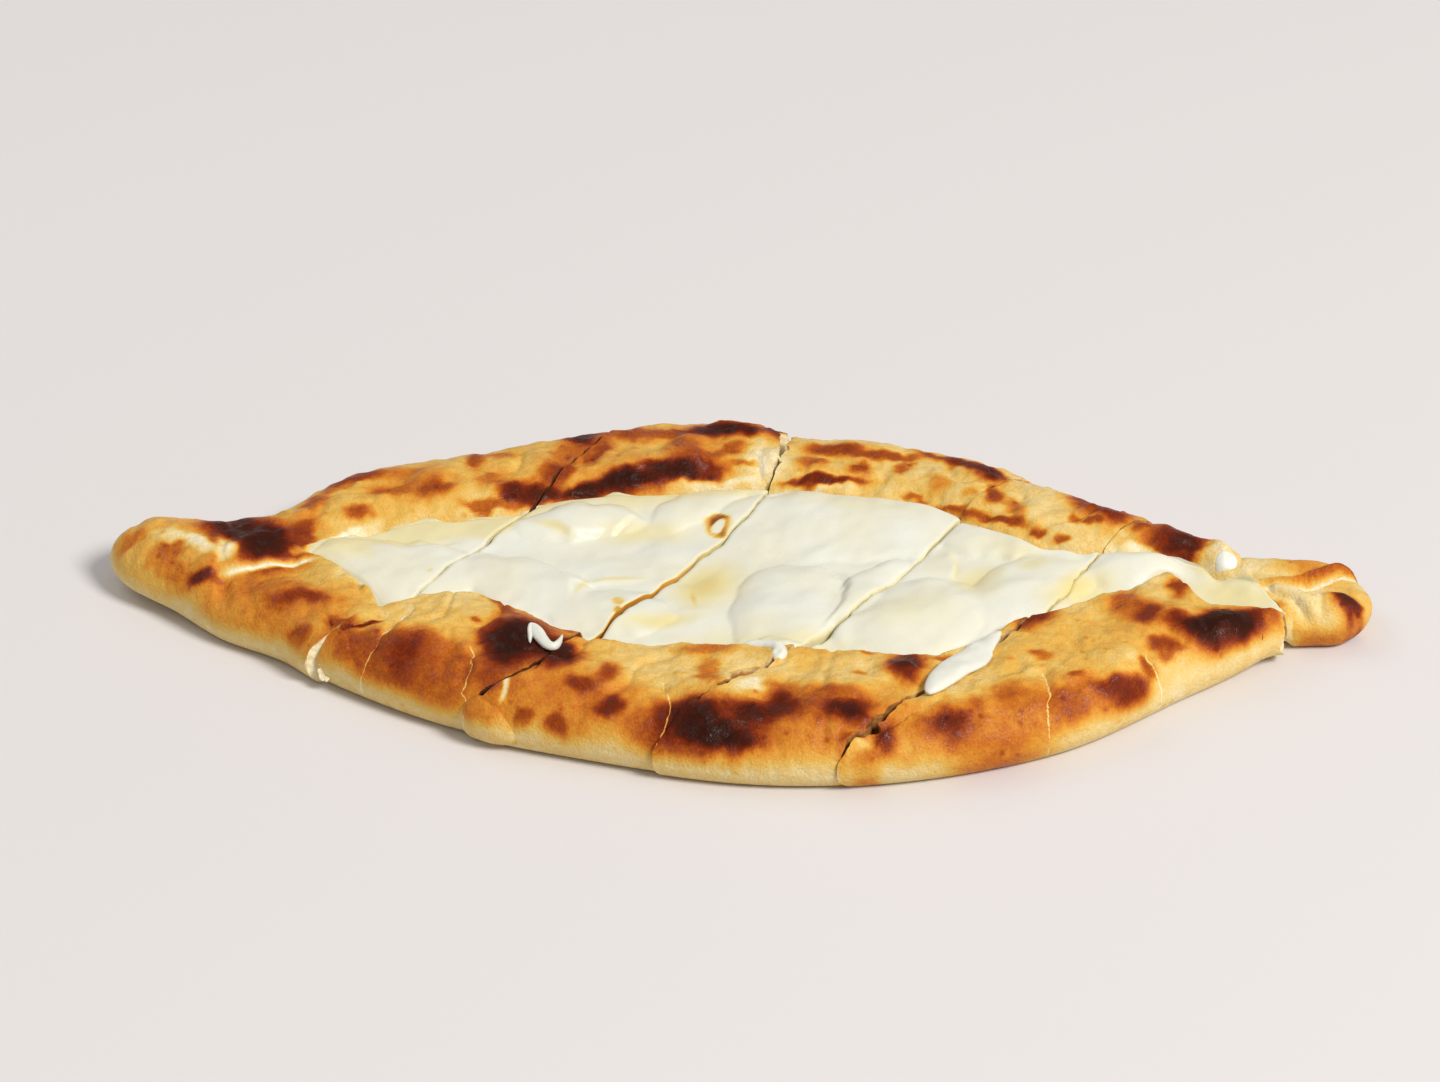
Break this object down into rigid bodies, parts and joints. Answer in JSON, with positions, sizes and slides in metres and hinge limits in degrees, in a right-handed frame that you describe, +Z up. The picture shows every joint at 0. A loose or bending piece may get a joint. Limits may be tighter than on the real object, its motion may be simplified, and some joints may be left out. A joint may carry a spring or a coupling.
{
  "type": "labneh pie",
  "caption": "Boat-shaped baked flatbread with folded, blistered rims and a white strained-yoghurt filling, cut across into slices that lie together.",
  "frame": {"origin": "under the middle of the pie's box, on the surface it lies on", "axes": "+X along the boat towards its small cut-off tip, +Y to the far rim, +Z up"},
  "size_m": [0.3448, 0.1636, 0.0231],
  "materials": {
    "crust": "baked golden, scorched in spots, lightly oiled",
    "labneh": "moist and smooth, spread in folds"
  },
  "bodies": {
    "root": {"crust_1": "crust", "crust_2": "crust", "crust_3": "crust", "crust_4": "crust", "crust_5": "crust", "crust_6": "crust", "labneh_1": "labneh", "labneh_2": "labneh", "labneh_3": "labneh", "labneh_4": "labneh", "labneh_5": "labneh", "labneh_dab_1": "labneh", "labneh_dab_2": "labneh", "labneh_dab_3": "labneh"}
  },
  "joints": []
}
